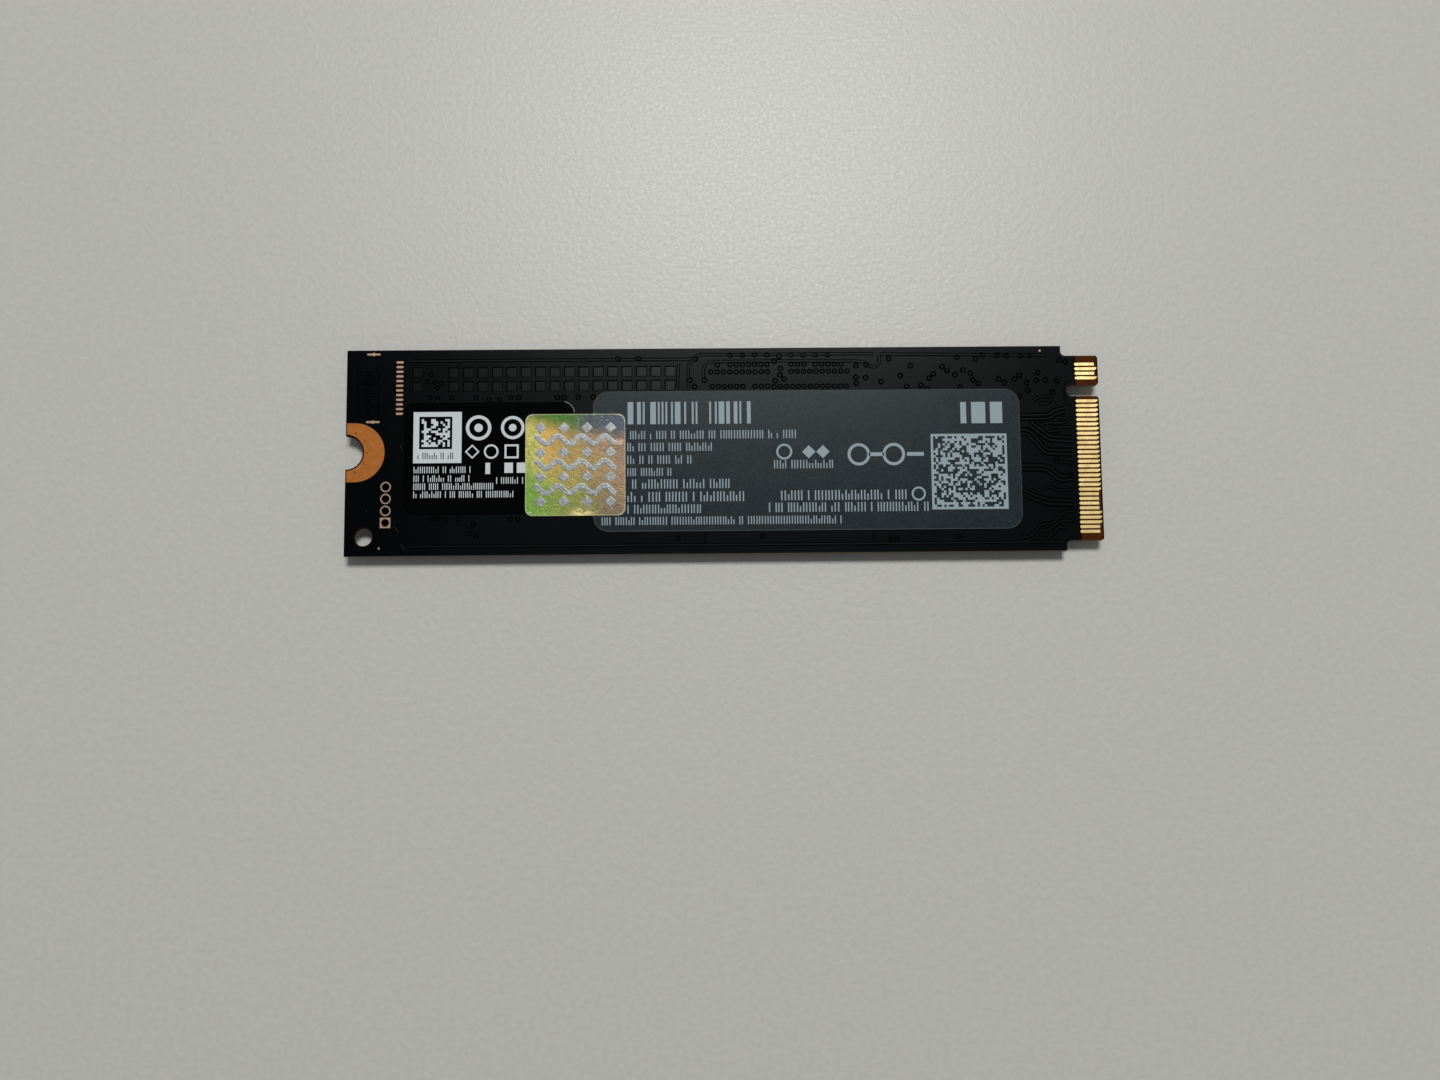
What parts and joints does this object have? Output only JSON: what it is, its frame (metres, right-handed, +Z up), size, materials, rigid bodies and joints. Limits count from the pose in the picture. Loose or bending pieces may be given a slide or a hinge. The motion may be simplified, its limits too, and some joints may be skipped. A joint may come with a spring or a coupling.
{
  "type": "m.2 nvme solid-state drive",
  "caption": "Flat storage circuit board with a keyed gold edge connector at one end, a half-round screw notch at the other, labels on top and chips underneath.",
  "frame": {"origin": "under the middle of the board, level with the faces of the tallest chips, on which the drive rests", "axes": "+X towards the edge connector, +Y across the board towards the key slot's side, +Z up, out of the label side"},
  "size_m": [0.08, 0.022, 0.0022],
  "materials": {
    "laminate": "bare glass-fibre laminate",
    "solder_mask": "satin black",
    "gold": "polished gold plating",
    "bare_copper": "matte bare copper",
    "pad_copper": "pale coated copper",
    "black_film": "matte black film",
    "grey_film": "satin grey film",
    "foil": "iridescent foil",
    "mould": "matte moulding compound",
    "substrate": "dark green laminate",
    "tinned": "tinned metal",
    "ferrite": "dark grey ferrite",
    "capacitor": "tan ceramic",
    "resistor": "black glaze",
    "crystal_ceramic": "pale ceramic",
    "crystal_metal": "plated lid"
  },
  "bodies": {
    "root": {"circuit_board": "laminate", "mask_label_side": "solder_mask", "mask_chip_side": "solder_mask", "fingers_label_side": "gold", "fingers_chip_side": "gold", "mount_pad_label_side": "bare_copper", "mount_pad_chip_side": "bare_copper", "test_pads": "pad_copper", "link_pads": "pad_copper", "bare_spots": "pad_copper", "header_barrels": "pad_copper", "header_barrel_square": "pad_copper", "black_label": "black_film", "grey_label": "grey_film", "foil_sticker": "foil", "flash_a_substrate": "substrate", "flash_a_cap": "mould", "flash_b_substrate": "substrate", "flash_b_cap": "mould", "memory_substrate": "substrate", "memory_cap": "mould", "controller_substrate": "substrate", "controller_cap": "mould", "power_chip_body": "mould", "power_chip_lands": "tinned", "load_switch_body": "mould", "load_switch_lands": "tinned", "crystal_base": "crystal_ceramic", "crystal_lid": "crystal_metal", "inductor_1": "ferrite", "inductor_2": "ferrite", "inductor_3": "ferrite", "inductor_4": "ferrite", "inductor_plates": "tinned", "bulk_capacitor_bodies": "capacitor", "bulk_capacitor_ends": "tinned", "bypass_capacitor_bodies": "capacitor", "bypass_capacitor_ends": "tinned", "resistor_bodies": "resistor", "resistor_ends": "tinned"}
  },
  "joints": []
}
